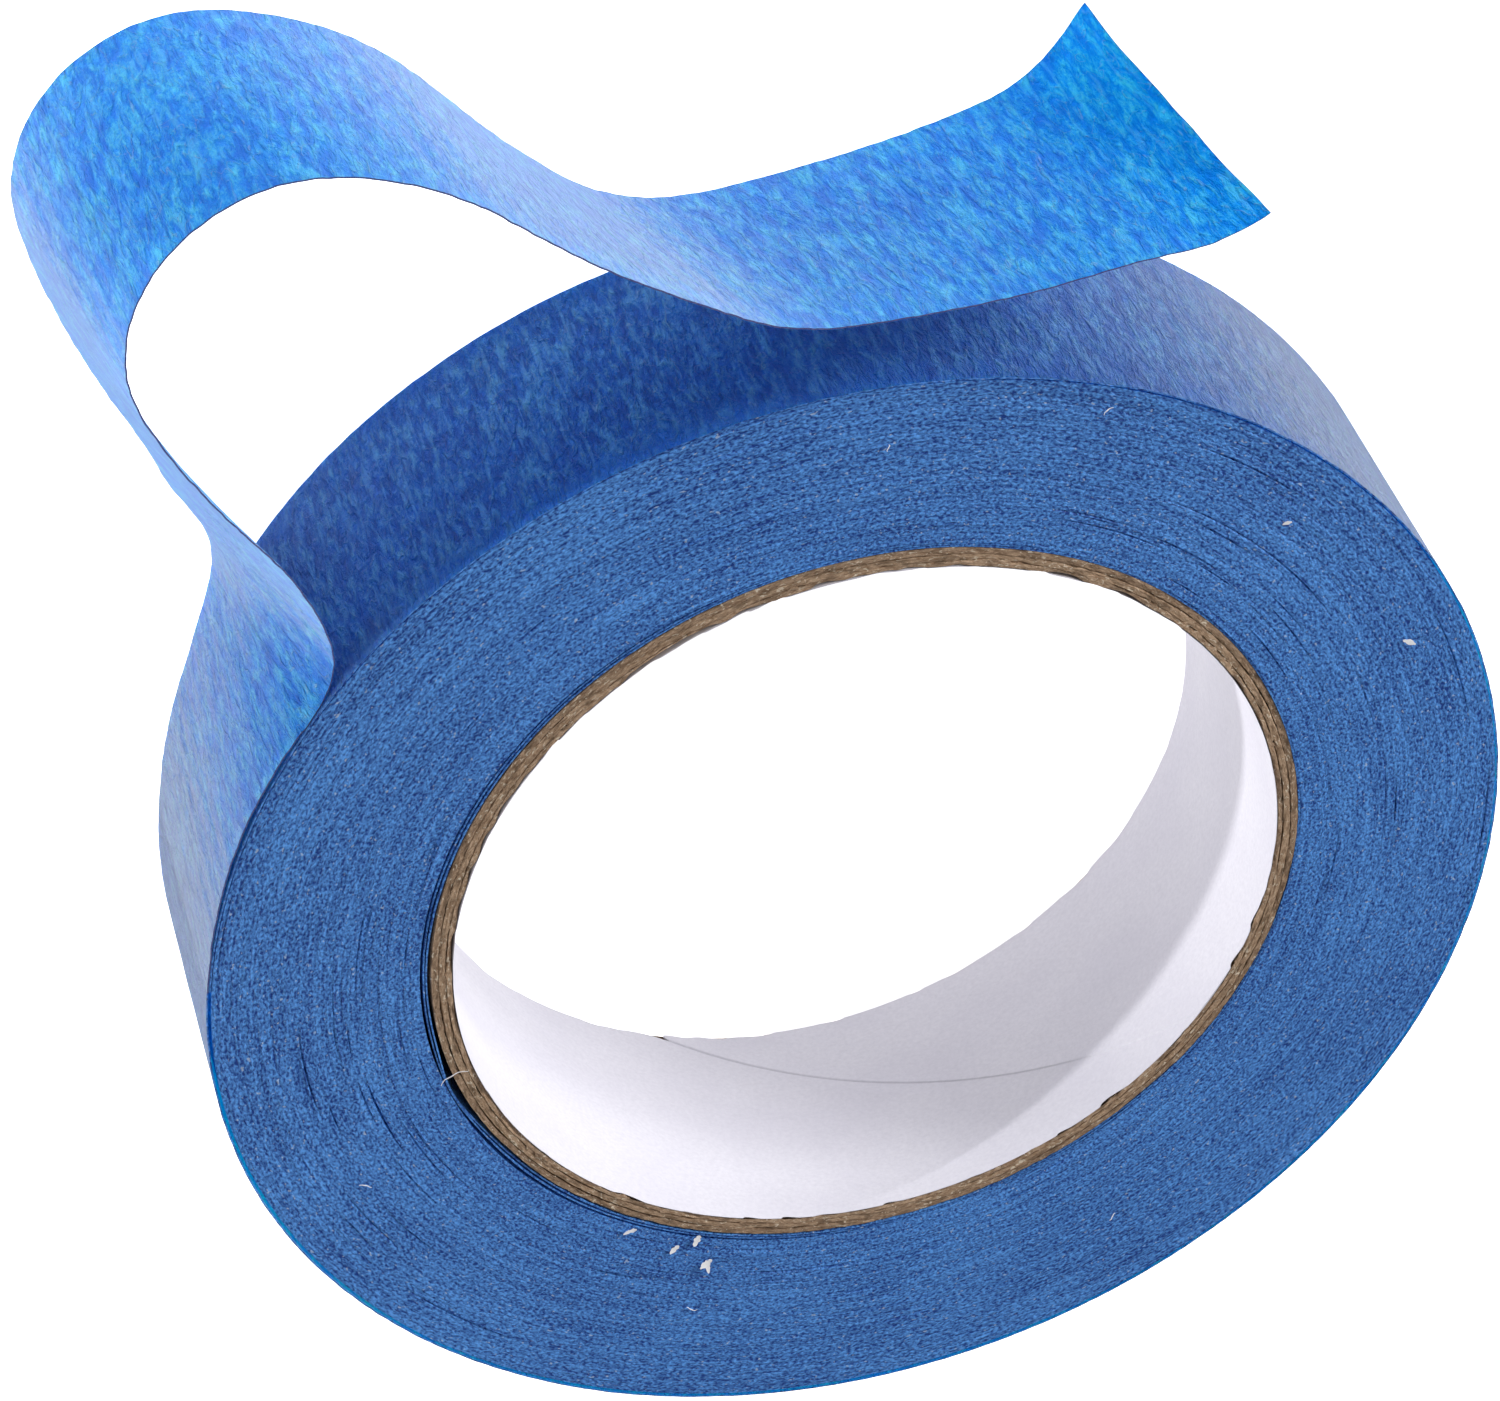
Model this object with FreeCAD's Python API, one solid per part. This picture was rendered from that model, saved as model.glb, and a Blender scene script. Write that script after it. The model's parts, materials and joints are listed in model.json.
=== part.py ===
"""A roll of crepe-paper masking tape lying on its side, with a free strip peeled off it.

Units are millimetres.  The origin is on the axis of the bore, in the face that the roll rests
on.  +Z runs along the axis, and the free strip leaves the roll on the -Y side.
"""
import FreeCAD, Part
import math
import os

from FreeCAD import Rotation, Vector

# Driving dimensions
TAPE_WIDTH = 25.4
TAPE_THICKNESS = 0.14
ROLL_RADIUS = 60.0
BORE_RADIUS = 38.1
LINER_THICKNESS = 0.15
PLY_THICKNESS = {"core_inner_ply": 0.6, "core_middle_ply": 0.7, "core_outer_ply": 0.7}

# The wound tape has slipped sideways on the core, which leaves a crescent gap with loose laps in it
ROLL_CENTRE = Vector(1.0, 2.0, 0.0)
PACK_BORE_GAP_WIDE = 1.0
PACK_BORE_GAP_NARROW = 0.3
LOOSE_LAPS = 2
LAP_PLAY = 0.005

# The outermost lap, which turns on the rest as tape is pulled off
LAP_STEP = 0.20
LAP_CLEARANCE = 0.08
PEEL_ANGLE = -29.0

# The free strip from the peel line to its cut end, as stretches of (length, turn, twist).
# A stretch turns by so many degrees about the strip's own width, to the left when positive,
# and twists by so many degrees about its length.
LEAD = [(18, -13, 0), (10, -7, 4), (8, 42, 19), (13, 12, 0)]
LOOP_RISE = [(24, -10, -10), (15, -60, -7)]
LOOP_FALL = [(15, -61, -7), (18, -33, -3)]
TAIL = [(18, 12, -7), (12, 31, 4), (28, 12, 8), (10, 41, 22)]
FLEX_GAP = 0.3
STEPS_PER_STRETCH = 8

UP = Vector(0, 0, 1)


def ring(inner_radius, outer_radius, inner_centre=Vector(), outer_centre=Vector()):
    """A tube as wide as the tape, whose bore may be off centre."""
    outside = Part.makeCylinder(outer_radius, TAPE_WIDTH, outer_centre, UP)
    return outside.cut(Part.makeCylinder(inner_radius, TAPE_WIDTH, inner_centre, UP))


def crescent_ring(inner_gap_narrow, inner_gap_wide, core_radius):
    """Radius and centre of a circle that stands off the core by one gap at -X and another at +X."""
    radius = core_radius + (inner_gap_narrow + inner_gap_wide) / 2
    return radius, Vector((inner_gap_wide - inner_gap_narrow) / 2, 0, 0)


def radial(angle):
    return Vector(math.cos(math.radians(angle)), math.sin(math.radians(angle)), 0)


def half_turn(centre, radius, start_angle):
    """Half a circle that runs counter-clockwise from start_angle."""
    points = [centre + radial(start_angle + turned) * radius for turned in (0, 90, 180)]
    return Part.Arc(*points).toShape()


def outer_lap():
    """One whole turn of tape, which ends one step further in than it starts."""
    start = radial(PEEL_ANGLE)
    second_centre = ROLL_CENTRE - start * (LAP_STEP / 2)
    sides = []
    for depth in (0, TAPE_THICKNESS):
        first = half_turn(ROLL_CENTRE, ROLL_RADIUS - depth, PEEL_ANGLE)
        second = half_turn(second_centre, ROLL_RADIUS - depth - LAP_STEP / 2, PEEL_ANGLE + 180)
        sides.append([first, second])
    ends = []
    for depth in (0, LAP_STEP):
        outside = ROLL_CENTRE + start * (ROLL_RADIUS - depth)
        ends.append(Part.makeLine(outside, outside - start * TAPE_THICKNESS))
    outline = Part.Wire(Part.__sortEdges__(sides[0] + sides[1] + ends))
    return Part.Face(outline).extrude(UP * TAPE_WIDTH)


class Strip:
    """Walks along the middle of the free strip, and keeps the frame where the walk has come to."""

    def __init__(self):
        outward = radial(PEEL_ANGLE)
        middle = ROLL_RADIUS - TAPE_THICKNESS / 2
        self.place = ROLL_CENTRE + outward * middle + UP * (TAPE_WIDTH / 2)
        self.across = UP
        self.along = outward.cross(UP)

    def advance(self, length, turn, twist):
        axis = self.across * turn + self.along * twist
        half = Rotation(axis, axis.Length / 2)
        self.place = self.place + half.multVec(self.along) * length
        self.along = half.multVec(half.multVec(self.along))
        self.across = half.multVec(half.multVec(self.across))

    def section(self):
        """The four corners of the strip's section: near and far edge, front and back."""
        face = self.along.cross(self.across) * (TAPE_THICKNESS / 2)
        edge = self.across * (TAPE_WIDTH / 2)
        return [self.place + edge + face, self.place - edge + face,
                self.place - edge - face, self.place + edge - face]

    def walk(self, stretches):
        """The sections along these stretches, with the first one where the walk stands now."""
        sections = [self.section()]
        for length, turn, twist in stretches:
            for _ in range(STEPS_PER_STRETCH):
                parts = STEPS_PER_STRETCH
                self.advance(length / parts, turn / parts, twist / parts)
                sections.append(self.section())
        return sections

    def skip_gap(self):
        self.place = self.place + self.along * FLEX_GAP


def shorten(stretches, removed):
    """The same stretches with the last one a little shorter."""
    length, turn, twist = stretches[-1]
    return stretches[:-1] + [(length - removed, turn, twist)]


def strip_solid(sections):
    """A closed solid through the sections, with one smooth face on each side."""
    corner_curves = []
    for corner in range(4):
        curve = Part.BSplineCurve()
        curve.interpolate([section[corner] for section in sections])
        corner_curves.append(curve.toShape())
    faces = []
    for corner in range(4):
        faces.append(Part.makeRuledSurface(corner_curves[corner], corner_curves[(corner + 1) % 4]))
    for section in (sections[0], sections[-1]):
        faces.append(Part.Face(Part.makePolygon(section + section[:1])))
    shell = Part.makeShell(faces)
    shell.sewShape()
    solid = Part.makeSolid(shell)
    if solid.Volume < 0:
        solid.reverse()
    return solid


def free_strip(parts):
    """The strip's solids, in order from the peel line, and the joints between its bodies."""
    joints = {"peel": (ROLL_CENTRE + radial(PEEL_ANGLE) * (ROLL_RADIUS - TAPE_THICKNESS / 2), UP)}
    strip = Strip()
    strip.skip_gap()
    parts["strip_lead"] = strip_solid(strip.walk(shorten(LEAD, FLEX_GAP)))
    joints["loop_flex"] = (strip.place + strip.along * (FLEX_GAP / 2), strip.across)
    strip.skip_gap()
    parts["strip_loop_rise"] = strip_solid(strip.walk(LOOP_RISE))
    parts["strip_loop_fall"] = strip_solid(strip.walk(shorten(LOOP_FALL, FLEX_GAP)))
    joints["tail_flex"] = (strip.place + strip.along * (FLEX_GAP / 2), strip.across)
    strip.skip_gap()
    parts["strip_tail"] = strip_solid(strip.walk(TAIL))
    return joints


def core(parts):
    """The white liner and the board plies of the core, from the bore outwards. Returns its radius."""
    radius = BORE_RADIUS + LINER_THICKNESS
    parts["core_liner"] = ring(BORE_RADIUS, radius)
    for name, thickness in PLY_THICKNESS.items():
        parts[name] = ring(radius, radius + thickness)
        radius += thickness
    return radius


def wound_laps(parts, core_radius):
    """The two loose laps next to the core, and the tight pack outside them."""
    laps = []
    for number in range(LOOSE_LAPS):
        narrow = LAP_PLAY + number * (TAPE_THICKNESS + LAP_PLAY)
        wide = PACK_BORE_GAP_WIDE * (number + 1) / (LOOSE_LAPS + 1)
        radius, centre = crescent_ring(narrow, wide, core_radius)
        laps.append(ring(radius, radius + TAPE_THICKNESS, centre, centre))
    parts["loose_inner_laps"] = Part.makeCompound(laps)
    radius, centre = crescent_ring(PACK_BORE_GAP_NARROW, PACK_BORE_GAP_WIDE, core_radius)
    pack_radius = ROLL_RADIUS - LAP_STEP - TAPE_THICKNESS - LAP_CLEARANCE
    parts["wound_tape"] = ring(radius, pack_radius, centre, ROLL_CENTRE)


def main():
    parts = {}
    core_radius = core(parts)
    wound_laps(parts, core_radius)
    parts["outer_lap"] = outer_lap()
    joints = free_strip(parts)
    os.makedirs("parts", exist_ok=True)
    for name, shape in parts.items():
        shape.exportStep("parts/%s.step" % name)
        box = shape.BoundBox
        print("%-18s volume %9.1f mm3  x %6.1f..%5.1f  y %6.1f..%5.1f  z %5.2f..%5.2f  valid %s" % (
            name, shape.Volume, box.XMin, box.XMax, box.YMin, box.YMax, box.ZMin, box.ZMax,
            shape.isValid()))
    print("centre of the unwinding lap:", ROLL_CENTRE)
    for name, (place, axis) in joints.items():
        print("%-10s at (%.2f, %.2f, %.2f) about (%.4f, %.4f, %.4f)" % (name, *place, *axis))


main()
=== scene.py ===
"""The looks of a roll of blue crepe masking tape that lies flat, with its free end peeled off.

Metres throughout, in the CAD frame: the origin is on the axis of the bore, in the face that the
roll rests on, and +Z runs along the axis.
"""

import json
import math

import bpy
import numpy as np
from mathutils import Matrix, Vector

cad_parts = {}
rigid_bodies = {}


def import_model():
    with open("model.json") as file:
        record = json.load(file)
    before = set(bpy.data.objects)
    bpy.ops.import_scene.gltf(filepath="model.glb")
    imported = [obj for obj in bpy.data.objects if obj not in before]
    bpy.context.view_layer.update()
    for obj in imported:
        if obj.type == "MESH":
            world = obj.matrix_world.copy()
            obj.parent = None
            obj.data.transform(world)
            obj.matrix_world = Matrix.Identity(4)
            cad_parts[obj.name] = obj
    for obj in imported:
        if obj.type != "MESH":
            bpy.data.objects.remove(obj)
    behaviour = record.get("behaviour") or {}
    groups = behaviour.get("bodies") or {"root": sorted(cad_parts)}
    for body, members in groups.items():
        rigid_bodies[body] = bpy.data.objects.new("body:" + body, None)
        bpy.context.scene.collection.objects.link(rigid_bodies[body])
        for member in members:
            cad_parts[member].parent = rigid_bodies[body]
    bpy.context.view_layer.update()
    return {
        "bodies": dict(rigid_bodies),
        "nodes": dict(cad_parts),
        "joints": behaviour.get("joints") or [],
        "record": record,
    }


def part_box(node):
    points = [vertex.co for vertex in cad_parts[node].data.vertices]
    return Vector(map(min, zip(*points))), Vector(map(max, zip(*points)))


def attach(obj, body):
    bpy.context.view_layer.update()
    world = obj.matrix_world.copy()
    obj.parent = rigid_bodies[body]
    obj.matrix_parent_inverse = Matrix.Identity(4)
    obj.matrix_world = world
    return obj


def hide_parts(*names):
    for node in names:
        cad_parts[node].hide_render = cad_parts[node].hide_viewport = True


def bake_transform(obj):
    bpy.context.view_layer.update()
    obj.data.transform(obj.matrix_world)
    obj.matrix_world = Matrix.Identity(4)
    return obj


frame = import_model()

MM = 0.001
JOINTS = {joint["name"]: joint for joint in frame["joints"]}

# The tape, as the CAD model has it
TAPE_THICKNESS = 0.14 * MM
LAP_STEP = 0.20 * MM
TAPE_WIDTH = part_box("wound_tape")[1].z
ROLL_CENTRE = np.array(JOINTS["unwind"]["pos_m"])
PEEL_POINT = np.array(JOINTS["peel"]["pos_m"])
ROLL_RADIUS = float(np.linalg.norm(PEEL_POINT - ROLL_CENTRE)) + TAPE_THICKNESS / 2
PEEL_ANGLE = math.atan2(PEEL_POINT[1] - ROLL_CENTRE[1], PEEL_POINT[0] - ROLL_CENTRE[0])

# The free strip as part.py has it: stretches of (length in mm, turn and twist in degrees).
# A solver fitted and rounded them to the strip's seen edges. Two were then split.
LEAD = [(18, -13, 0), (10, -7, 4), (8, 42, 19), (13, 12, 0)]
LOOP = [(24, -10, -10), (15, -60, -7), (15, -61, -7), (18, -33, -3)]
TAIL = [(18, 12, -7), (12, 31, 4), (28, 12, 8), (10, 41, 22)]


# ---------------------------------------------------------------- numbers

def smooth_noise(rng, shape, along, across):
    """Random heights with a spread of one, blurred over so many samples each way."""
    rough = rng.standard_normal(shape)
    spectrum = np.fft.fft2(rough)
    first = np.fft.fftfreq(shape[0])[:, None]
    second = np.fft.fftfreq(shape[1])[None, :]
    reach = (first * along) ** 2 + (second * across) ** 2
    field = np.fft.ifft2(spectrum * np.exp(-2 * math.pi ** 2 * reach)).real
    return field / field.std()


def fade(value, low, high):
    """0 below low, 1 above high, and a smooth step between them."""
    share = np.clip((value - low) / (high - low), 0, 1)
    return share * share * (3 - 2 * share)


def angles_from(angles, middle):
    """Angles as turns from the middle one, between minus and plus half a turn."""
    return (angles - middle + math.pi) % (2 * math.pi) - math.pi


def srgb(red, green, blue):
    """A scene-linear colour from the 0 to 255 values of a screen."""
    def linear(value):
        value /= 255
        return value / 12.92 if value <= 0.04045 else ((value + 0.055) / 1.055) ** 2.4
    return (linear(red), linear(green), linear(blue), 1)


# ---------------------------------------------------------------- materials

class Shader:
    """A material whose nodes are made by short calls. Inputs are sockets or plain values."""

    def __init__(self, name):
        self.material = bpy.data.materials.new(name)
        self.material.use_nodes = True
        self.tree = self.material.node_tree
        self.tree.nodes.clear()

    def node(self, kind, inputs=None, **settings):
        made = self.tree.nodes.new(kind)
        for name, value in settings.items():
            setattr(made, name, value)
        for name, value in (inputs or {}).items():
            if isinstance(value, bpy.types.NodeSocket):
                self.tree.links.new(value, made.inputs[name])
            else:
                made.inputs[name].default_value = value
        return made

    def math(self, operation, first, second=0.0, third=0.0):
        values = {0: first, 1: second, 2: third}
        if operation in ("ABSOLUTE", "SQRT"):
            values = {0: first}
        elif operation != "MULTIPLY_ADD":
            values = {0: first, 1: second}
        return self.node("ShaderNodeMath", values, operation=operation).outputs[0]

    def stretched(self, vector, scale, turn=0.0):
        inputs = {"Vector": vector, "Scale": scale, "Rotation": (0, 0, math.radians(turn))}
        return self.node("ShaderNodeMapping", inputs).outputs[0]

    def noise(self, vector, scale, detail=2.0, roughness=0.5, distortion=0.0):
        inputs = {"Vector": vector, "Scale": scale, "Detail": detail,
                  "Roughness": roughness, "Distortion": distortion}
        return self.node("ShaderNodeTexNoise", inputs).outputs["Fac"]

    def ramp(self, value, low, high):
        """0 where value is low, 1 where it is high."""
        inputs = {"Value": value, "From Min": low, "From Max": high}
        return self.node("ShaderNodeMapRange", inputs).outputs[0]

    def mix(self, share, first, second):
        made = self.node("ShaderNodeMix", data_type="RGBA")
        for socket, value in ((made.inputs[0], share), (made.inputs[6], first),
                              (made.inputs[7], second)):
            if isinstance(value, bpy.types.NodeSocket):
                self.tree.links.new(value, socket)
            else:
                socket.default_value = value
        return made.outputs[2]

    def bump(self, height, distance, strength=1.0):
        inputs = {"Height": height, "Distance": distance, "Strength": strength}
        return self.node("ShaderNodeBump", inputs).outputs[0]

    def output(self, surface):
        self.node("ShaderNodeOutputMaterial", {"Surface": surface})
        return self.material


def tape_coordinates(shader):
    """Millimetres along and across the tape, kept with the mesh."""
    attribute = shader.node("ShaderNodeAttribute", attribute_name="tape_mm")
    return attribute.outputs["Vector"]


# Painted light and shade: the same blue paper gets lighter tones on the free strip and darker tones
# on the roll.
LIT_FREE_BACKING = srgb(8, 114, 224), srgb(8, 147, 242), srgb(94, 206, 255)
SHADED_WOUND_BACKING = srgb(10, 84, 168), srgb(22, 116, 204), srgb(112, 188, 238)
BACKING_FIBRE = srgb(170, 215, 250)
BACKING_SHEEN = srgb(202, 212, 218)
GLOW = srgb(0, 196, 255)
GLOW_PALE = srgb(70, 240, 255)
RIM_GLOW = srgb(6, 118, 216)
RIM_GLOW_WIDTH = 4.0  # mm
ROLL_SHADE_REACH = 16  # mm
# Painted sheen: how sharply and how far the base colour pales towards BACKING_SHEEN at a glancing
# view.
SHEEN_SHARPNESS = 3.2
SHEEN_MOST = 0.86
LIGHT_THROUGH = 0.55


def crepe_paper(name, tones, relief, rim_glow=0.0):
    """The backing: blue wrinkled paper with pale clouds and fibres, and light through it.

    On the roll, light that enters at the side face brightens a band along the rim. The free strip
    starts in the roll's tones, because the roll behind it stops the light there.
    """
    shader = Shader(name)
    place = tape_coordinates(shader)
    if not rim_glow:
        from_roll = shader.node("ShaderNodeSeparateXYZ", {0: place}).outputs[0]
        near_roll = shader.ramp(from_roll, ROLL_SHADE_REACH, 0.0)
        tones = [shader.mix(near_roll, free, wound) for free, wound in zip(tones, SHADED_WOUND_BACKING)]
    clouds = shader.noise(shader.stretched(place, (1.15, 0.34, 1), 14), 1.0, 4.0, 0.62, 0.4)
    patches = shader.noise(shader.stretched(place, (0.22, 0.12, 1)), 1.0, 2.0, 0.5)
    wrinkles = shader.noise(shader.stretched(place, (1.5, 0.5, 1), 16), 1.0, 3.0, 0.5, 1.2)
    grain = shader.noise(shader.stretched(place, (3.6, 2.3, 1), 20), 1.0, 2.0, 0.6, 1.6)
    strands = shader.noise(shader.stretched(place, (0.5, 0.26, 1), -16), 1.0, 1.0, 0.4, 1.6)

    pale = shader.math("MULTIPLY_ADD", shader.math("SUBTRACT", wrinkles, 0.5), 0.55, clouds)
    pale = shader.math("MULTIPLY_ADD", shader.math("SUBTRACT", grain, 0.5), 0.55, pale)
    pale = shader.math("MULTIPLY_ADD", shader.math("SUBTRACT", patches, 0.5), 0.25, pale)
    streaks = shader.noise(shader.stretched(place, (1.5, 0.20, 1), 22), 1.0, 2.0, 0.5, 0.5)
    off_strand = shader.math("ABSOLUTE", shader.math("SUBTRACT", strands, 0.5))
    shown = shader.math("MULTIPLY", shader.ramp(wrinkles, 0.40, 0.60), 0.6)
    strand = shader.math("MULTIPLY", shader.ramp(off_strand, 0.016, 0.002), shown)
    colour = shader.mix(shader.ramp(pale, 0.30, 0.50), tones[0], tones[1])
    colour = shader.mix(shader.ramp(pale, 0.50, 0.74), colour, tones[2])
    streaked = shader.math("MULTIPLY", shader.ramp(streaks, 0.56, 0.66), 0.75)
    colour = shader.mix(streaked, colour, tones[2])
    colour = shader.mix(strand, colour, BACKING_FIBRE)
    glow = shader.mix(shader.ramp(pale, 0.40, 0.74), GLOW, GLOW_PALE)
    if rim_glow:
        across = shader.node("ShaderNodeSeparateXYZ", {0: place}).outputs[1]
        across = shader.math("ABSOLUTE", across)
        ragged = shader.math("MULTIPLY_ADD", shader.math("SUBTRACT", patches, 0.5), 9.0, across)
        rim = TAPE_WIDTH / MM / 2
        band = shader.math("POWER", shader.ramp(ragged, rim - RIM_GLOW_WIDTH, rim), 1.8)
        colour = shader.mix(shader.math("MULTIPLY", band, rim_glow), colour, RIM_GLOW)

    height = shader.math("MULTIPLY_ADD", grain, 0.3, wrinkles)
    height = shader.math("MULTIPLY_ADD", strand, 0.25, height)
    normal = shader.bump(height, relief, 1.0)
    # Painted sheen: the base colour pales towards BACKING_SHEEN where the paper is seen edge-on,
    # unevenly over the wrinkles.
    edge_on = shader.node("ShaderNodeLayerWeight", {"Blend": 0.5})
    painted_sheen = shader.math("POWER", edge_on.outputs["Facing"], SHEEN_SHARPNESS)
    uneven = shader.math("MULTIPLY_ADD", shader.math("ADD", wrinkles, grain), 1.9, -0.15)
    painted_sheen = shader.math("MULTIPLY", painted_sheen, uneven)
    painted_sheen = shader.math("MINIMUM", painted_sheen, SHEEN_MOST)
    front = shader.node("ShaderNodeBsdfPrincipled", {
        "Base Color": shader.mix(painted_sheen, colour, BACKING_SHEEN), "Roughness": 0.6, "IOR": 1.35,
        "Specular IOR Level": 0.12,
        "Sheen Weight": 0.06, "Sheen Roughness": 0.3, "Sheen Tint": srgb(214, 232, 255),
        "Normal": normal}).outputs[0]
    behind = shader.node("ShaderNodeBsdfTranslucent", {"Color": glow, "Normal": normal}).outputs[0]
    mixed = shader.node("ShaderNodeMixShader", {0: LIGHT_THROUGH, 1: front, 2: behind})
    return shader.output(mixed.outputs[0])


def cut_edge():
    """The slit edge of one thickness of tape, where the brownish adhesive shows."""
    shader = Shader("tape_cut_edge")
    place = tape_coordinates(shader)
    grain = shader.noise(place, 3.0, 3.0, 0.7)
    colour = shader.mix(shader.ramp(grain, 0.35, 0.65), srgb(38, 60, 124), srgb(92, 102, 152))
    surface = shader.node("ShaderNodeBsdfPrincipled", {"Base Color": colour, "Roughness": 0.7})
    return shader.output(surface.outputs[0])


MEAN_RADIUS = ROLL_RADIUS * 0.83


def round_coordinates(shader, centre):
    """Millimetres round a circle, out from its centre, and up."""
    place = shader.node("ShaderNodeTexCoord").outputs["Object"]
    moved = shader.node("ShaderNodeVectorMath", {0: place, 1: centre}, operation="SUBTRACT")
    in_mm = shader.node("ShaderNodeVectorMath", {0: moved.outputs[0], "Scale": 1 / MM},
                        operation="SCALE").outputs[0]
    parts = shader.node("ShaderNodeSeparateXYZ", {0: in_mm}).outputs
    angle = shader.math("ARCTAN2", parts[1], parts[0])
    squares = shader.math("ADD", shader.math("MULTIPLY", parts[0], parts[0]),
                          shader.math("MULTIPLY", parts[1], parts[1]))
    radius = shader.math("SQRT", squares)
    round_it = shader.math("MULTIPLY", angle, MEAN_RADIUS / MM)
    return shader.node("ShaderNodeCombineXYZ", {0: round_it, 1: radius, 2: parts[2]}).outputs[0]


LAPS_DARK = srgb(4, 54, 134)
LAPS_LIGHT = srgb(96, 166, 246)
LAPS_FLECK = srgb(190, 205, 225)


def lap_edges():
    """The side of the roll: the slit edges of many laps, speckled by cut fibres."""
    shader = Shader("lap_edges")
    place = round_coordinates(shader, tuple(ROLL_CENTRE * 0.6))
    speckle = shader.noise(shader.stretched(place, (2.9, 4.3, 3.4)), 1.0, 1.0, 0.5, 0.4)
    laps = shader.noise(shader.stretched(place, (0.09, 3.6, 0.3)), 1.0, 2.0, 0.6)
    patches = shader.noise(shader.stretched(place, (0.07, 0.13, 0.1)), 1.0, 2.0, 0.5)
    flecks = shader.noise(shader.stretched(place, (2.3, 2.9, 2.0)), 1.0, 1.0, 0.5)

    light = shader.math("MULTIPLY_ADD", shader.math("SUBTRACT", laps, 0.5), 0.40, speckle)
    light = shader.math("MULTIPLY_ADD", shader.math("SUBTRACT", patches, 0.5), 0.15, light)
    colour = shader.mix(shader.ramp(light, 0.31, 0.73), LAPS_DARK, LAPS_LIGHT)
    colour = shader.mix(shader.math("MULTIPLY", shader.ramp(flecks, 0.69, 0.76), 0.6),
                        colour, LAPS_FLECK)
    height = shader.math("MULTIPLY_ADD", laps, 0.6, speckle)
    normal = shader.bump(height, 0.22 * MM, 1.0)
    surface = shader.node("ShaderNodeBsdfPrincipled", {
        "Base Color": colour, "Roughness": 0.6, "Specular IOR Level": 0.35, "Normal": normal})
    return shader.output(surface.outputs[0])


BOARD_SPECK_DARK = srgb(84, 66, 50)
BOARD_SPECK_LIGHT = srgb(226, 212, 190)


def core_board(name, dark, light):
    """Recycled board, with long fibres that run round the core."""
    shader = Shader(name)
    place = round_coordinates(shader, (0, 0, 0))
    fibres = shader.noise(shader.stretched(place, (1.3, 5.0, 2.4)), 1.0, 3.0, 0.7, 0.8)
    clumps = shader.noise(shader.stretched(place, (0.5, 2.0, 0.8)), 1.0, 3.0, 0.6)
    bits = shader.noise(shader.stretched(place, (1.4, 3.4, 2.0), 20), 1.0, 1.0, 0.5, 1.0)
    colour = shader.mix(shader.ramp(fibres, 0.36, 0.64), dark, light)
    colour = shader.mix(shader.math("MULTIPLY", shader.ramp(clumps, 0.50, 0.34), 0.6),
                        colour, BOARD_SPECK_DARK)
    colour = shader.mix(shader.math("MULTIPLY", shader.ramp(bits, 0.63, 0.70), 0.8),
                        colour, BOARD_SPECK_LIGHT)
    height = shader.math("MULTIPLY_ADD", clumps, 0.7, fibres)
    normal = shader.bump(height, 0.22 * MM, 0.9)
    surface = shader.node("ShaderNodeBsdfPrincipled", {
        "Base Color": colour, "Roughness": 0.9, "Specular IOR Level": 0.2, "Normal": normal})
    return shader.output(surface.outputs[0])


def white_paper():
    """Smooth white liner paper with faint fibres and handling marks."""
    shader = Shader("liner_paper")
    place = round_coordinates(shader, (0, 0, 0))
    fibres = shader.noise(shader.stretched(place, (1.6, 1.0, 2.8)), 1.0, 4.0, 0.65)
    shade = shader.noise(shader.stretched(place, (0.07, 0.1, 0.12)), 1.0, 2.0)
    colour = shader.mix(shader.ramp(fibres, 0.3, 0.7), srgb(212, 210, 218), srgb(223, 221, 228))
    colour = shader.mix(shader.math("MULTIPLY", shader.ramp(shade, 0.4, 0.7), 0.25),
                        colour, srgb(198, 195, 208))
    normal = shader.bump(fibres, 0.03 * MM, 0.6)
    surface = shader.node("ShaderNodeBsdfPrincipled", {
        "Base Color": colour, "Roughness": 0.55, "Specular IOR Level": 0.35, "Normal": normal})
    return shader.output(surface.outputs[0])


def lint_paper():
    """Torn white paper and stray fibres."""
    shader = Shader("lint")
    place = shader.node("ShaderNodeTexCoord").outputs["Object"]
    grain = shader.noise(place, 900.0, 3.0, 0.6)
    colour = shader.mix(shader.ramp(grain, 0.3, 0.7), srgb(226, 224, 228), srgb(252, 251, 252))
    surface = shader.node("ShaderNodeBsdfPrincipled", {"Base Color": colour, "Roughness": 0.85})
    return shader.output(surface.outputs[0])


# ---------------------------------------------------------------- meshes

SHARP_EDGE = math.radians(35)


def make_mesh(name, points, quads, materials, slots=None, tape_mm=None):
    """A smooth-shaded object from points and quads, with a material number for each quad."""
    mesh = bpy.data.meshes.new(name)
    mesh.from_pydata(np.asarray(points, float).reshape(-1, 3), [], np.asarray(quads))
    for material in materials:
        mesh.materials.append(material)
    if slots is not None:
        mesh.polygons.foreach_set("material_index", np.asarray(slots, np.int32))
    if tape_mm is not None:
        attribute = mesh.attributes.new("tape_mm", "FLOAT_VECTOR", "POINT")
        attribute.data.foreach_set("vector", np.asarray(tape_mm, np.float32).ravel())
    mesh.update()
    mesh.validate()
    mesh.shade_smooth()
    mesh.set_sharp_from_angle(angle=SHARP_EDGE)
    piece = bpy.data.objects.new(name, mesh)
    bpy.context.scene.collection.objects.link(piece)
    return piece


def grid_quads(rows, columns, rows_wrap=False, columns_wrap=False, offset=0):
    """Quads over a grid of points stored row by row."""
    row = np.arange(rows if rows_wrap else rows - 1)[:, None]
    column = np.arange(columns if columns_wrap else columns - 1)[None, :]
    next_row = (row + 1) % rows
    next_column = (column + 1) % columns
    corners = [row * columns + column, row * columns + next_column,
               next_row * columns + next_column, next_row * columns + column]
    return offset + np.stack([corner + 0 * (row + column) for corner in corners], -1).reshape(-1, 4)


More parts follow.
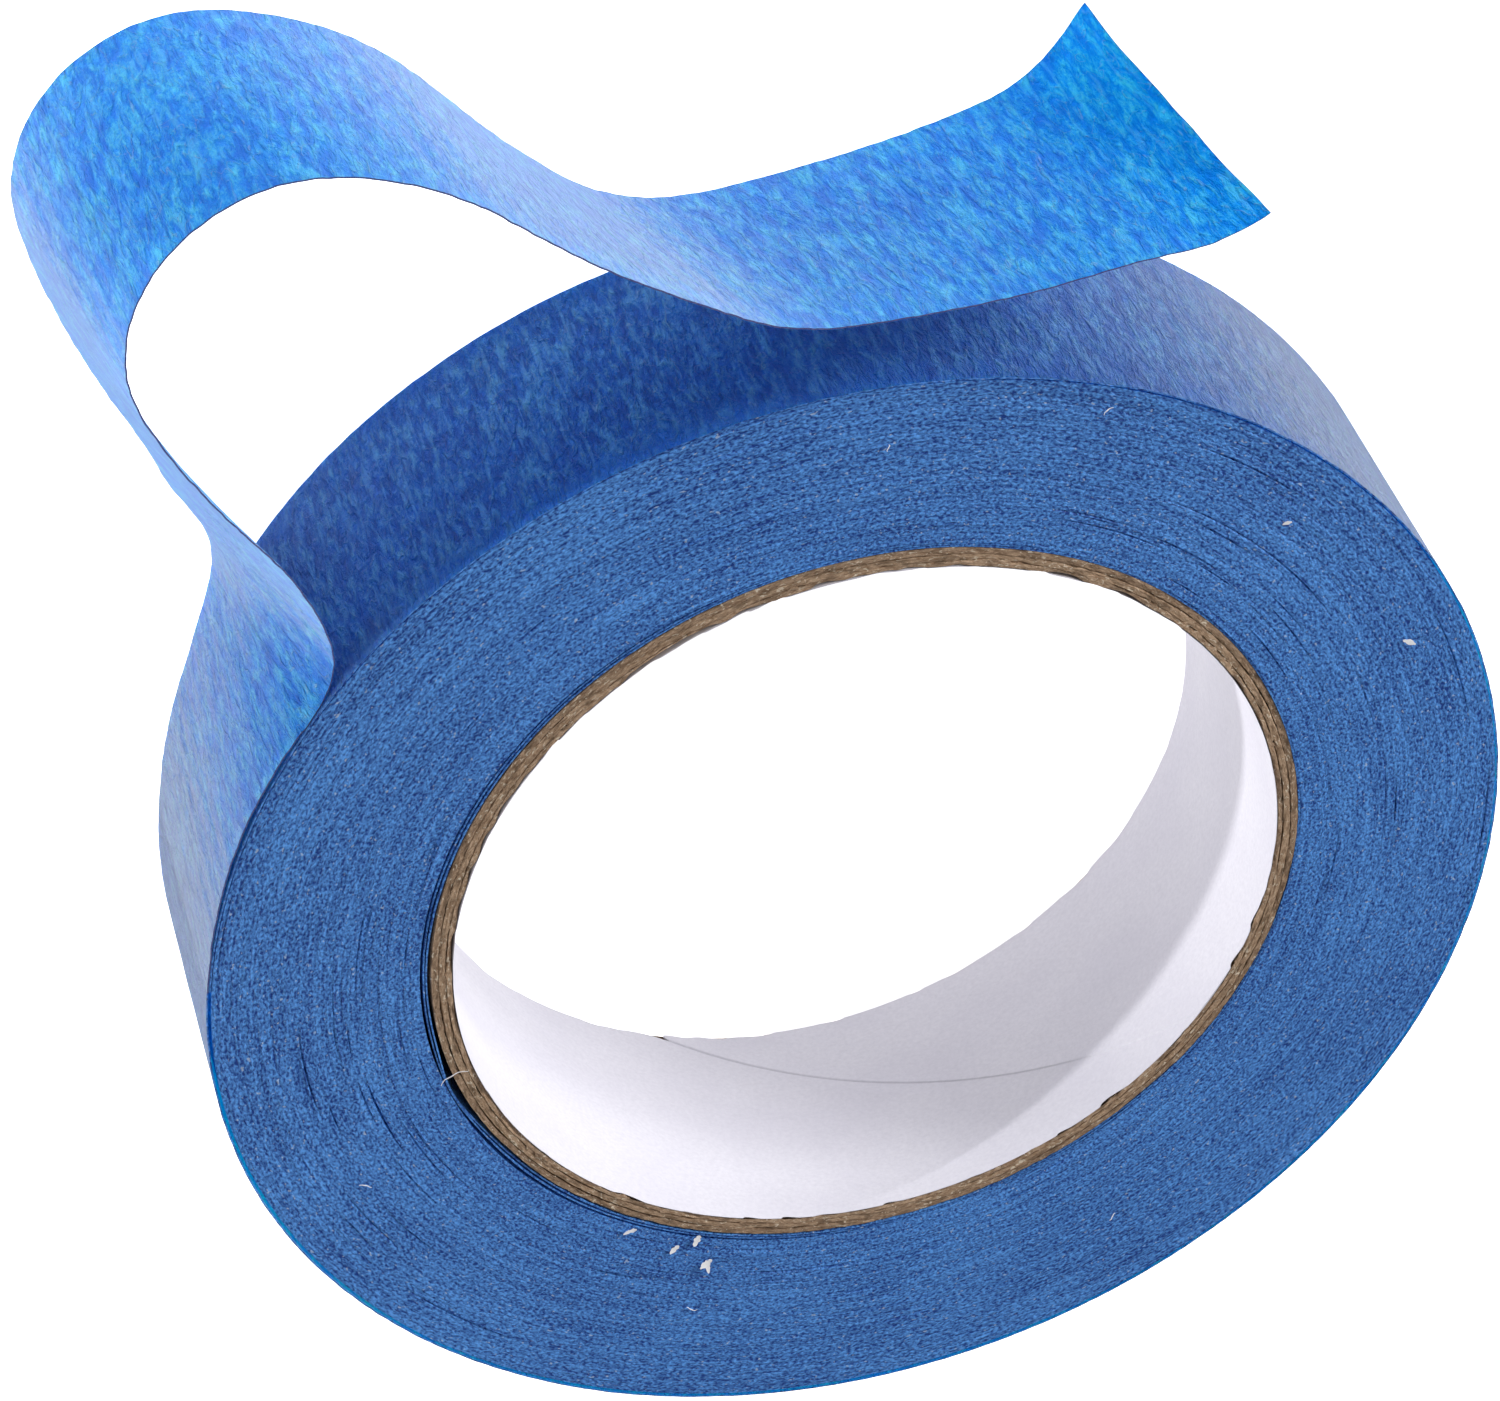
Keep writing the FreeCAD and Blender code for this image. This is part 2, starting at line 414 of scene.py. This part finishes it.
def thin_sheet(name, front, back, tape_mm, materials):
    """A closed sheet of paper from grids of its two faces. Its edges take the second material."""
    rows, columns = front.shape[:2]
    points = np.concatenate([front.reshape(-1, 3), back.reshape(-1, 3)])
    half = rows * columns
    face = grid_quads(rows, columns)
    number = np.arange(half).reshape(rows, columns)
    edges = []
    for line in (number[0], number[:, -1], number[-1][::-1], number[:, 0][::-1]):
        edges.append(np.stack([line[1:], line[:-1], line[:-1] + half, line[1:] + half], -1))
    edge = np.concatenate(edges)
    quads = np.concatenate([face, face[:, ::-1] + half, edge])
    slots = np.zeros(len(quads), np.int32)
    slots[2 * len(face):] = 1
    both = np.concatenate([tape_mm.reshape(-1, 3)] * 2)
    return make_mesh(name, points, quads, materials, slots, both)


def lathe(name, points, materials):
    """A closed ring from a grid of points: sections round the ring, points round each section."""
    rows, columns = points.shape[:2]
    quads = grid_quads(rows, columns, rows_wrap=True, columns_wrap=True)
    return make_mesh(name, points, quads, materials)


# ---------------------------------------------------------------- the strip

STRIP_STEP = 0.3 * MM
STRIP_COLUMNS = 33
CURVE_BLUR = 2.3 * MM
END_CUT_ASKEW = 1.3 * MM


def rates(stretches):
    """Turn and twist in radians per metre, at the middle of every step along the stretches."""
    turns, twists = [], []
    for length, turn, twist in stretches:
        steps = round(length * MM / STRIP_STEP)
        turns += [math.radians(turn) / (length * MM)] * steps
        twists += [math.radians(twist) / (length * MM)] * steps
    return np.array(turns), np.array(twists)


def blurred(values, before, after):
    """The same rates with their steps rounded off, and with what lies past each end."""
    reach = round(3 * CURVE_BLUR / STRIP_STEP)
    window = np.exp(-0.5 * (np.arange(-reach, reach + 1) * STRIP_STEP / CURVE_BLUR) ** 2)
    padded = np.concatenate([np.full(reach, before), values, np.full(reach, after)])
    return np.convolve(padded, window / window.sum(), "valid")


def strip_frames():
    """Places, directions along and directions across, at every step of the free strip."""
    turns, twists = rates(LEAD + LOOP + TAIL)
    turns = blurred(turns, -1 / ROLL_RADIUS, turns[-1])
    twists = blurred(twists, 0, twists[-1])
    outward = Vector((math.cos(PEEL_ANGLE), math.sin(PEEL_ANGLE), 0))
    place = Vector(ROLL_CENTRE) + outward * (ROLL_RADIUS - TAPE_THICKNESS / 2)
    place.z = TAPE_WIDTH / 2
    across = Vector((0, 0, 1))
    along = outward.cross(across)
    frames = [(place.copy(), along.copy(), across.copy())]
    for turn, twist in zip(turns, twists):
        axis = (across * turn + along * twist) * STRIP_STEP
        half = Matrix.Rotation(axis.length / 2, 3, axis)
        place = place + half @ along * STRIP_STEP
        along = half @ (half @ along)
        across = half @ (half @ across)
        frames.append((place.copy(), along.copy(), across.copy()))
    return [np.array([frame[part] for frame in frames]) for part in range(3)]


def strip_grids():
    """The free strip's front and back faces, and millimetres along and across, over one grid."""
    rng = np.random.default_rng(11)
    places, along, across = strip_frames()
    rows = len(places)
    reach = np.linspace(0.5, -0.5, STRIP_COLUMNS) * TAPE_WIDTH
    outward = np.cross(along, across)
    surface = places[:, None] + across[:, None] * reach[None, :, None]

    far = np.arange(rows) * STRIP_STEP
    free = fade(far, 6 * MM, 24 * MM)[:, None]
    cockle = smooth_noise(rng, (rows, STRIP_COLUMNS), 24, 8) * 0.07 * MM
    crepe = smooth_noise(rng, (rows, STRIP_COLUMNS), 1.1, 2.5) * 0.022 * MM
    lift = cockle * free + crepe * fade(far, 0.5 * MM, 3 * MM)[:, None]
    curl = (reach / reach[0]) ** 2 * 0.18 * MM * free
    surface = surface + outward[:, None] * (lift + curl)[..., None]

    edge = smooth_noise(rng, (rows, 1), 1.2, 0) * 0.02 * MM
    for column, sign in ((0, 1), (-1, -1)):
        surface[:, column] += across * edge * sign
    end = smooth_noise(rng, (STRIP_COLUMNS, 1), 1.5, 0)[:, 0] * 0.06 * MM
    hollow = (1 - (reach / reach[0]) ** 2) * 0.2 * MM
    askew = (0.5 - reach / TAPE_WIDTH) * END_CUT_ASKEW
    near_end = fade(far, far[-1] - 8 * MM, far[-1])
    shorter = (hollow + end + askew)[None, :, None] * near_end[:, None, None]
    surface -= along[:, None] * shorter

    thickness = outward[:, None] * TAPE_THICKNESS / 2
    tape_mm = np.zeros((rows, STRIP_COLUMNS, 3))
    tape_mm[..., 0] = (far / MM)[:, None]
    tape_mm[..., 1] = (reach / MM)[None, :]
    front, back = surface + thickness, surface - thickness
    for face in (front, back):
        face[..., 2] = np.maximum(face[..., 2], 0)
    return front, back, tape_mm, places, along


def row_at(length):
    """The grid row that lies so many millimetres along the strip."""
    return round(length * MM / STRIP_STEP)


def free_strip(materials):
    """The free strip as three meshes cut from one grid, each hiding the CAD parts it stands for."""
    front, back, tape_mm, places, along = strip_grids()
    lead_length = sum(stretch[0] for stretch in LEAD)
    loop_length = sum(stretch[0] for stretch in LOOP)
    whole = lead_length + loop_length + sum(stretch[0] for stretch in TAIL)
    crest = lead_length + loop_length / 2
    plan = [("strip_lead_half", 0, 30, "peel", ("lap", "lead"), (-0.5, 5)),
            ("strip_loop_near", 30, crest, "loop_flex", ("lead", "loop"), (-12, 12)),
            ("strip_tail_half", crest, whole, "tail_flex", ("loop", "tail"), (-14, 14))]
    stands_for = {"strip_lead_half": ["strip_lead"],
                  "strip_loop_near": ["strip_loop_rise"],
                  "strip_tail_half": ["strip_loop_fall", "strip_tail"]}
    for name, start, end, joint, bodies, reach in plan:
        part = slice(row_at(start), row_at(end) + 1)
        piece = thin_sheet(name, front[part], back[part], tape_mm[part], materials)
        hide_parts(*stands_for[name])
        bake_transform(piece)


# ---------------------------------------------------------------- the roll

def outer_wrap(materials):
    """The outermost lap: one turn of tape that ends a step further in than it starts."""
    rng = np.random.default_rng(12)
    rows, columns = 1300, 17
    turned = np.linspace(0, 1, rows)
    angle = PEEL_ANGLE + turned * 2 * math.pi
    radius = ROLL_RADIUS - LAP_STEP * turned
    reach = np.linspace(0.5, -0.5, columns) * TAPE_WIDTH
    crepe = smooth_noise(rng, (rows, columns), 1.2, 1.2) * 0.012 * MM
    swell = smooth_noise(rng, (rows, columns), 26, 5) * 0.015 * MM
    ends = np.minimum(fade(turned, 0, 0.01), 1 - fade(turned, 0.9, 1))[:, None]
    grids = []
    for depth in (0, TAPE_THICKNESS):
        out = radius[:, None] - depth + (crepe + swell) * ends
        grid = np.zeros((rows, columns, 3))
        grid[..., 0] = ROLL_CENTRE[0] + out * np.cos(angle)[:, None]
        grid[..., 1] = ROLL_CENTRE[1] + out * np.sin(angle)[:, None]
        grid[..., 2] = TAPE_WIDTH / 2 + reach[None, :]
        rim = smooth_noise(np.random.default_rng(13), (rows, 2), 2, 0) * 0.02 * MM
        grid[:, 0, 2] -= np.abs(rim[:, 0])
        grid[:, -1, 2] += np.abs(rim[:, 1])
        grids.append(grid)
    tape_mm = np.zeros((rows, columns, 3))
    tape_mm[..., 0] = -(turned * 2 * math.pi * ROLL_RADIUS / MM)[:, None]
    tape_mm[..., 1] = (reach / MM)[None, :]
    piece = thin_sheet("outer_wrap", grids[0], grids[1], tape_mm, materials)
    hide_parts("outer_lap")
    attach(piece, "lap")


def circle_of(node):
    """Centre and radius of a round node, from its box."""
    low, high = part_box(node)
    return np.array([(low.x + high.x) / 2, (low.y + high.y) / 2]), (high.x - low.x) / 2


PACK_GAPS = {"wide": 1.0 * MM, "narrow": 0.3 * MM}
PARTED_LAPS = 110


def parted_laps(rng, depth, angles):
    """Lowers single rings over arcs, where two laps have parted, mostly on the two loose sides."""
    rings = depth.shape[0]
    for number in range(PARTED_LAPS):
        side = 0.0 if number % 3 else math.pi
        middle = side + rng.normal(0, 0.8)
        half_length = math.radians(rng.uniform(1.5, 9))
        if number % 2:
            ring = int(rings * (0.04 + 0.55 * rng.beta(1.0, 1.6)))
        else:
            ring = rng.integers(3, rings - 3)
        away = np.abs(angles_from(angles, middle))
        cut = np.clip(1 - (away / half_length) ** 2, 0, 1)
        depth[ring] += cut * rng.uniform(0.05, 0.24) * MM


def wound_pack(material):
    """The tight laps: a ring whose two side faces carry the relief of the laps' edges."""
    rng = np.random.default_rng(21)
    sections, rings = 540, 128
    _, core_radius = circle_of("core_outer_ply")
    hole = core_radius + (PACK_GAPS["wide"] + PACK_GAPS["narrow"]) / 2
    hole_centre = np.array([(PACK_GAPS["wide"] - PACK_GAPS["narrow"]) / 2, 0])
    centre, radius = circle_of("wound_tape")
    angles = np.linspace(0, 2 * math.pi, sections, endpoint=False)
    share = np.linspace(0, 1, rings)
    middle = hole_centre + (centre - hole_centre) * share[:, None]
    radii = hole + (radius - hole) * share
    flat_x = middle[:, None, 0] + radii[:, None] * np.cos(angles)
    flat_y = middle[:, None, 1] + radii[:, None] * np.sin(angles)
    faces = []
    for side in (1, -1):
        depth = np.abs(smooth_noise(rng, (rings, sections), 0.7, 9)) * 0.030 * MM
        depth += np.abs(smooth_noise(rng, (rings, sections), 5, 40)) * 0.035 * MM
        depth += np.abs(smooth_noise(rng, (rings, sections), 0.5, 0.6)) * 0.020 * MM
        parted_laps(rng, depth, angles)
        height = TAPE_WIDTH - depth if side == 1 else depth
        face = np.stack([flat_x, flat_y, height], -1)
        faces.append(face if side == 1 else face[::-1])
    points = np.concatenate(faces).transpose(1, 0, 2)
    piece = lathe("wound_pack", points, [material])
    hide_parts("wound_tape")
    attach(piece, "roll")


PARTING_ANGLE = math.radians(-4)


def loose_laps(materials):
    """Laps that have parted in the crescent gap beside the core."""
    _, core_radius = circle_of("core_outer_ply")
    rng = np.random.default_rng(31)
    rows = 720
    angles = np.linspace(0, 2 * math.pi, rows, endpoint=False)
    laps = []
    near_parting = np.exp(-(angles_from(angles, PARTING_ANGLE) / math.radians(6)) ** 2)
    on_wide_side = fade(np.cos(angles), 0.2, 0.9)
    for number in range(2):
        narrow = 0.01 * MM + number * 0.145 * MM
        wide = (0.22, 0.60)[number] * MM
        centre_x = (wide - narrow) / 2
        radius = core_radius + (wide + narrow) / 2
        slack = smooth_noise(rng, (rows, 1), 16, 0)[:, 0] * 0.05 * MM * on_wide_side
        slack += near_parting * (0.45, 0.22)[number] * MM
        section = []
        top = TAPE_WIDTH - 0.05 * MM - np.abs(smooth_noise(rng, (rows, 1), 14, 0)[:, 0]) * 0.06 * MM
        foot = np.full(rows, 0.03 * MM)
        for depth, height in ((0, foot), (0, top), (TAPE_THICKNESS, top), (TAPE_THICKNESS, foot)):
            out = radius + slack + depth
            flat_x = centre_x + out * np.cos(angles)
            flat_y = out * np.sin(angles)
            section.append(np.stack([flat_x, flat_y, height], -1))
        laps.append(np.stack(section, 1)[:, ::-1])
    for number, points in enumerate(laps):
        piece = lathe("loose_lap_%d" % (number + 1), points, materials)
        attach(piece, "roll")
        if number == 0:
            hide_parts("loose_inner_laps")


def board_ply(name, node, inner, outer, material, ragged, seed):
    """One ply of the core, with fibrous cut faces and a torn inner rim."""
    rng = np.random.default_rng(seed)
    sections, rings = 1200, 7
    angles = np.linspace(0, 2 * math.pi, sections, endpoint=False)
    share = np.linspace(0, 1, rings)
    points = []
    for side in (1, -1):
        rough = smooth_noise(rng, (rings, sections), 0.9, 1.4) * 0.035 * MM
        broad = smooth_noise(rng, (rings, sections), 2, 9) * 0.05 * MM
        depth = np.abs(rough + broad) + 0.02 * MM
        tear = np.clip(smooth_noise(rng, (1, sections), 0, 5), 0, 3) * ragged
        depth = depth + tear * (1 - share[:, None]) ** 2
        split = np.clip(smooth_noise(rng, (1, sections), 0, 14)[0], 0, 2) * 0.10 * MM
        depth[-1] += 0.05 * MM + split
        out = inner + (outer - inner) * share[:, None] + 0 * depth
        fine_rag = np.abs(smooth_noise(rng, (1, sections), 0, 1.5))
        broad_rag = np.abs(smooth_noise(rng, (1, sections), 0, 7))
        out[0] += (fine_rag + broad_rag)[0] * ragged * 0.55
        height = TAPE_WIDTH - depth if side == 1 else depth
        face = np.stack([out * np.cos(angles), out * np.sin(angles), height], -1)
        points.append(face if side == 1 else face[::-1])
    piece = lathe(name, np.concatenate(points).transpose(1, 0, 2), [material])
    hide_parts(node)
    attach(piece, "roll")


SEAM_ANGLE = math.radians(45.0)
SEAM_SLOPE = 2.1
NICK_DEPTH = 0.8 * MM
LINER_STANDS_OFF = 0.08 * MM


def liner(material, bore):
    """The white liner: wound on a slant, so a butt seam runs down the bore."""
    rng = np.random.default_rng(51)
    sections, rows = 1440, 27
    _, outer = circle_of("core_liner")
    angles = np.linspace(0, 2 * math.pi, sections, endpoint=False)
    torn_top = np.clip(smooth_noise(rng, (1, sections), 0, 4)[0], 0, 3) * 0.13 * MM
    torn_bottom = np.clip(smooth_noise(rng, (1, sections), 0, 6)[0], 0, 3) * 0.16 * MM
    top = TAPE_WIDTH - 0.04 * MM - torn_top
    bottom = 0.03 * MM + torn_bottom
    from_seam = (angles - SEAM_ANGLE) * bore
    bottom += NICK_DEPTH * np.exp(-np.abs(from_seam) / (0.5 * MM))
    height = bottom + (top - bottom) * np.linspace(1, 0, rows)[:, None]
    turned = angles[None, :] + SEAM_SLOPE * height / bore
    in_groove = np.exp(-(from_seam / (0.2 * MM)) ** 2)
    groove = in_groove * (1 - fade(height, 1 * MM, 13 * MM)) * 0.05 * MM
    past_seam = fade(from_seam, -0.15 * MM, 0.15 * MM)
    step = past_seam * (1 - fade(from_seam, 0.2 * MM, 9 * MM)) * 0.10 * MM
    wave = smooth_noise(rng, (rows, sections), 4, 30) * 0.03 * MM
    inside = bore + LINER_STANDS_OFF + np.abs(wave) + groove - step
    out = np.concatenate([inside, np.full((rows, sections), outer)])
    up = np.concatenate([height, height[::-1]])
    turned = np.concatenate([turned, turned[::-1]])
    points = np.stack([out * np.cos(turned), out * np.sin(turned), up], -1).transpose(1, 0, 2)
    piece = lathe("white_liner", points[:, ::-1], [material])
    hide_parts("core_liner")
    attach(piece, "roll")


def core(boards, paper):
    """The three plies, each from the one inside it outwards, and the liner in their bore."""
    mounts = {mount["name"]: mount for mount in frame["record"]["mounts"]}
    bore = mounts["bore"]["dims"]["r_mm"] * MM
    _, inner = circle_of("core_liner")
    plies = [("inner_board", "core_inner_ply", 0.5, 41),
             ("middle_board", "core_middle_ply", 0.06, 42),
             ("outer_board", "core_outer_ply", 0.06, 43)]
    for (name, node, ragged, seed), board in zip(plies, boards):
        _, outer = circle_of(node)
        board_ply(name, node, inner, outer - 0.02 * MM, board, ragged * MM, seed)
        inner = outer
    liner(paper, bore)


# Radius (mm) and angle (degrees) of the middle, how far each spreads, and how many flakes
LINT_PATCHES = {
    "beside the core": ((42, 40), (2.5, 7), 5),
    "strays": ((50, 180), (4, 25), 2)}
STRAY_FIBRES = 5


def lint_places(rng):
    """Flakes and fibres as rows of radius, angle, length, width or curl, and turn from outward."""
    flakes = []
    for middle, spread, count in LINT_PATCHES.values():
        for _ in range(count):
            radius, angle = np.array(middle) + rng.uniform(-1, 1, 2) * spread
            length = rng.uniform(0.6, 1.5)
            width = length * rng.uniform(0.35, 0.5)
            flakes.append((radius, angle, length, width, rng.uniform(-60, 60)))
    _, core_radius = circle_of("core_outer_ply")
    over_gap = (core_radius / MM, math.degrees(PARTING_ANGLE) - 3, 2.8, 0.34, 12)
    fibres = [over_gap]
    for _ in range(STRAY_FIBRES):
        fibres.append((rng.uniform(43, 58), rng.uniform(-180, 180), rng.uniform(0.6, 1.3), 0.12,
                       rng.uniform(-90, 90)))
    return flakes, fibres


def on_side_face(radius, degrees, turn):
    """A place on the upper side face, and the directions along and across a bit lying there."""
    angle = math.radians(degrees)
    heading = angle + math.radians(turn)
    place = np.array([radius * math.cos(angle), radius * math.sin(angle), TAPE_WIDTH / MM])
    along = np.array([math.cos(heading), math.sin(heading), 0])
    return place, along, np.cross((0, 0, 1), along)


def flake_grids(rng, flake):
    """The top and bottom of a torn paper flake that curls up at one end, in millimetres."""
    place, along, across = on_side_face(flake[0], flake[1], flake[4])
    step = np.linspace(-0.5, 0.5, 9)
    outline = np.sqrt(np.clip(1.04 - (2 * step) ** 2, 0, 1)) * (1 + rng.uniform(-0.35, 0.35, 9))
    side = np.linspace(-0.5, 0.5, 5)
    width = outline[:, None] * side[None, :] * flake[3]
    length = step[:, None] * flake[2] + 0 * width
    lift = 0.02 + 0.35 * flake[2] * (step[:, None] + 0.5) ** 2 * 0.6 + 0 * width
    bottom = place + length[..., None] * along + width[..., None] * across
    bottom = bottom + lift[..., None] * (0, 0, 1)
    return bottom + np.array([0, 0, 0.05]), bottom


def fibre_tube(rng, fibre):
    """Rings of points round a curled fibre, in millimetres."""
    place, along, across = on_side_face(fibre[0], fibre[1], fibre[4])
    step = np.linspace(0, 1, 40)
    phase = rng.uniform(0, 6)
    sway = np.sin(step * 5.0 + phase) * fibre[3] + np.sin(step * 11 + phase) * fibre[3] * 0.25
    lift = 0.06 + 0.25 * fibre[3] * (1 + np.sin(step * 7 + phase * 2))
    middle = place + np.outer((step - 0.5) * fibre[2], along) + np.outer(sway, across)
    middle[:, 2] += lift
    thick = 0.055 * (1 - 0.5 * np.abs(2 * step - 1))
    heading = np.gradient(middle, axis=0)
    heading /= np.linalg.norm(heading, axis=1)[:, None]
    level = np.cross(heading, (0, 0, 1))
    level /= np.linalg.norm(level, axis=1)[:, None]
    above = np.cross(level, heading)
    turn = np.linspace(0, 2 * math.pi, 6, endpoint=False)
    ring = level[:, None] * np.cos(turn)[:, None] + above[:, None] * np.sin(turn)[:, None]
    return middle[:, None] + ring * thick[:, None, None]


def lint(material):
    """Torn flakes of liner paper and stray fibres that cling to the side face and the core."""
    rng = np.random.default_rng(61)
    points, quads, count = [], [], 0
    flakes, fibres = lint_places(rng)
    for flake in flakes:
        top, bottom = flake_grids(rng, flake)
        rows, columns = top.shape[:2]
        loop = np.concatenate([top, bottom[:, ::-1]], 1)
        points.append(loop.reshape(-1, 3))
        quads.append(grid_quads(rows, 2 * columns, columns_wrap=True, offset=count)[:, ::-1])
        count += rows * 2 * columns
    for fibre in fibres:
        tube = fibre_tube(rng, fibre)
        points.append(tube.reshape(-1, 3))
        quads.append(grid_quads(tube.shape[0], tube.shape[1], columns_wrap=True, offset=count))
        count += tube.shape[0] * tube.shape[1]
    piece = make_mesh("lint", np.concatenate(points) * MM, np.concatenate(quads), [material])
    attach(piece, "roll")


# ---------------------------------------------------------------- stage

FLOOR_COLOUR = (0.90, 0.90, 0.91, 1)
FLOOR_GLOW = 1.4
SHADED_FLOOR_GLOW = 0.72
WORLD_COLOUR = (0.97, 0.98, 1.0, 1)
WORLD_STRENGTH = 0.30


def area_light(name, place, aim, size, power):
    """A white rectangle of light that faces the aim point."""
    data = bpy.data.lights.new(name, "AREA")
    data.shape = "RECTANGLE"
    data.size, data.size_y = size
    data.energy = power
    light = bpy.data.objects.new(name, data)
    light.location = place
    light.rotation_euler = (Vector(aim) - Vector(place)).to_track_quat("-Z", "Y").to_euler()
    bpy.context.scene.collection.objects.link(light)


def floor_sheet(name, material_name, corners, glow):
    """A flat pale floor that shines a little, so that light comes up through the paper."""
    shader = Shader(material_name)
    surface = shader.node("ShaderNodeBsdfPrincipled", {
        "Base Color": FLOOR_COLOUR, "Roughness": 0.9, "Specular IOR Level": 0.1,
        "Emission Color": (1, 1, 1, 1), "Emission Strength": glow})
    mesh = bpy.data.meshes.new(name)
    mesh.from_pydata(corners, [], [tuple(range(len(corners)))])
    mesh.materials.append(shader.output(surface.outputs[0]))
    sheet = bpy.data.objects.new(name, mesh)
    bpy.context.scene.collection.objects.link(sheet)


def stage():
    """The floor, the dimmer floor inside the bore where the roll shades it, and the lights."""
    edge = 3.0
    square = [(-edge, -edge, 0), (edge, -edge, 0), (edge, edge, 0), (-edge, edge, 0)]
    floor_sheet("floor", "pale_floor", square, FLOOR_GLOW)
    _, bore = circle_of("core_liner")
    sides = 96
    turns = [number * 2 * math.pi / sides for number in range(sides)]
    disc = [(bore * math.cos(turn), bore * math.sin(turn), 0.01 * MM) for turn in turns]
    floor_sheet("floor_in_bore", "shaded_floor", disc, SHADED_FLOOR_GLOW)

    world = bpy.data.worlds.new("studio")
    world.use_nodes = True
    background = world.node_tree.nodes["Background"]
    background.inputs["Color"].default_value = WORLD_COLOUR
    background.inputs["Strength"].default_value = WORLD_STRENGTH
    bpy.context.scene.world = world
    area_light("side_fill", (0.85, 0.1, 0.50), (0, 0, 0), (0.6, 0.6), 2.8)
    area_light("side_key", (-0.97, -0.16, 0.28), (0, 0, 0), (0.4, 0.3), 9.4)
    area_light("low_key", (1.06, -0.50, 0.16), (0, 0, 0.02), (0.025, 0.025), 7.0)
    bpy.context.scene.view_settings.view_transform = "Standard"


CAMERA_AIM = (0.0023, -0.0063, 0.0)
CAMERA_DISTANCE = 0.4325
CAMERA_AZIMUTH = -5.5
CAMERA_ELEVATION = 47.9
CAMERA_ROLL = 157.4
CAMERA_LENS = 112.2


def camera():
    """A camera high in front of the roll, turned almost upside down."""
    azimuth = math.radians(CAMERA_AZIMUTH)
    elevation = math.radians(CAMERA_ELEVATION)
    level = math.cos(elevation)
    back = Vector((math.sin(azimuth) * level, -math.cos(azimuth) * level, math.sin(elevation)))
    data = bpy.data.cameras.new("camera")
    data.lens = CAMERA_LENS
    data.clip_start, data.clip_end = 0.01, 20
    camera_object = bpy.data.objects.new("camera", data)
    camera_object.location = Vector(CAMERA_AIM) + back * CAMERA_DISTANCE
    facing = (-back).to_track_quat("-Z", "Y")
    roll = Matrix.Rotation(math.radians(CAMERA_ROLL), 4, "Z")
    camera_object.rotation_euler = (facing.to_matrix().to_4x4() @ roll).to_euler()
    bpy.context.scene.collection.objects.link(camera_object)
    bpy.context.scene.camera = camera_object


def main():
    """Every piece of the roll, and the stage round it."""
    camera()
    # The free strip's paper is painted lighter and the roll's painted darker: painted light and
    # shade on one paper.
    crepe = crepe_paper("crepe_backing_lit", LIT_FREE_BACKING, 0.8 * MM)
    shaded_wound_crepe = crepe_paper("crepe_on_roll_shaded", SHADED_WOUND_BACKING, 1.3 * MM, rim_glow=0.8)
    edge = cut_edge()
    laps = lap_edges()
    boards = [core_board("board_inner", srgb(146, 116, 90), srgb(200, 172, 145)),
              core_board("board_middle", srgb(138, 110, 85), srgb(194, 166, 139)),
              core_board("board_outer", srgb(126, 100, 78), srgb(184, 156, 130))]
    free_strip([crepe, edge])
    outer_wrap([shaded_wound_crepe, laps])
    wound_pack(laps)
    loose_laps([laps])
    core(boards, white_paper())
    lint(lint_paper())
    stage()


main()
